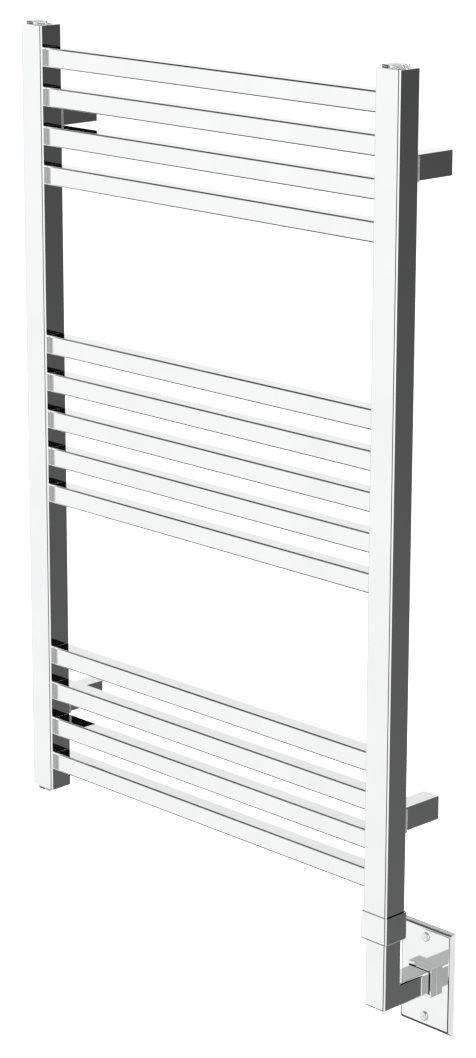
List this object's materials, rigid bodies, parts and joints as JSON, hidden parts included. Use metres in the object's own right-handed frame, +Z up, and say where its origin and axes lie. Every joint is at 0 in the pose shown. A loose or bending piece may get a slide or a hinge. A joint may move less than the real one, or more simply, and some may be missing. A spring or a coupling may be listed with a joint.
{
  "type": "towel warmer rack",
  "caption": "Wall-mounted ladder towel warmer with square chrome posts, grouped crossbars, square wall brackets and a hardwired elbow with a bevelled cover plate.",
  "frame": {"origin": "on the wall face, midway between the posts, level with the left post's lower end", "axes": "+X to the right seen from the room, +Y into the wall, +Z up; the rack's front faces -Y"},
  "size_m": [0.5406, 0.0816, 0.9616],
  "materials": {
    "chrome": "polished chrome plate",
    "steel": "plain zinc-plated or stainless steel",
    "clear": "clear moulded polycarbonate",
    "pad": "grey moulded plastic",
    "rubber": "black sealing rubber",
    "sheath": "heat-toned metal sheath",
    "lead_black": "insulation",
    "lead_white": "insulation",
    "lead_green": "insulation"
  },
  "bodies": {
    "wall_side": {"cover_plate": "chrome", "wall_flange": "chrome", "plate_screw_upper": "steel", "plate_screw_lower": "steel", "wall_block_upper_left": "steel", "wall_screw_upper_left": "steel", "wall_block_lower_left": "steel", "wall_screw_lower_left": "steel", "wall_block_upper_right": "steel", "wall_screw_upper_right": "steel", "wall_block_lower_right": "steel", "wall_screw_lower_right": "steel"},
    "rack": {"left_post": "chrome", "right_post": "chrome", "crossbar_01": "chrome", "crossbar_02": "chrome", "crossbar_03": "chrome", "crossbar_04": "chrome", "crossbar_05": "chrome", "crossbar_06": "chrome", "crossbar_07": "chrome", "crossbar_08": "chrome", "crossbar_09": "chrome", "crossbar_10": "chrome", "crossbar_11": "chrome", "crossbar_12": "chrome", "crossbar_13": "chrome", "left_top_plug": "chrome", "left_top_cap": "clear", "left_bottom_plug": "chrome", "left_bottom_cap": "clear", "right_top_plug": "chrome", "right_top_cap": "clear", "elbow_housing": "chrome", "element_socket": "steel", "element_head": "steel", "bracket_grub_upper_left": "steel", "post_screw_upper_left": "steel", "bracket_grub_lower_left": "steel", "post_screw_lower_left": "steel", "bracket_grub_upper_right": "steel", "post_screw_upper_right": "steel", "bracket_grub_lower_right": "steel", "post_screw_lower_right": "steel", "bracket_pad_upper_left": "pad", "bracket_stem_upper_left": "chrome", "bracket_pad_lower_left": "pad", "bracket_stem_lower_left": "chrome", "bracket_pad_upper_right": "pad", "bracket_stem_upper_right": "chrome", "bracket_pad_lower_right": "pad", "bracket_stem_lower_right": "chrome", "element_seal": "rubber", "heating_element": "sheath", "lead_black": "lead_black", "lead_white": "lead_white", "lead_green": "lead_green"},
    "collar": {"element_collar": "chrome"}
  },
  "joints": [
    {"name": "stand_off_slide", "type": "slide", "parent": "wall_side", "child": "rack", "axis": [0, -1, 0], "range_m": [0, 0.008]},
    {"name": "collar_slide", "type": "slide", "parent": "rack", "child": "collar", "axis": [0, 0, 1], "range_m": [0, 0.016]}
  ]
}
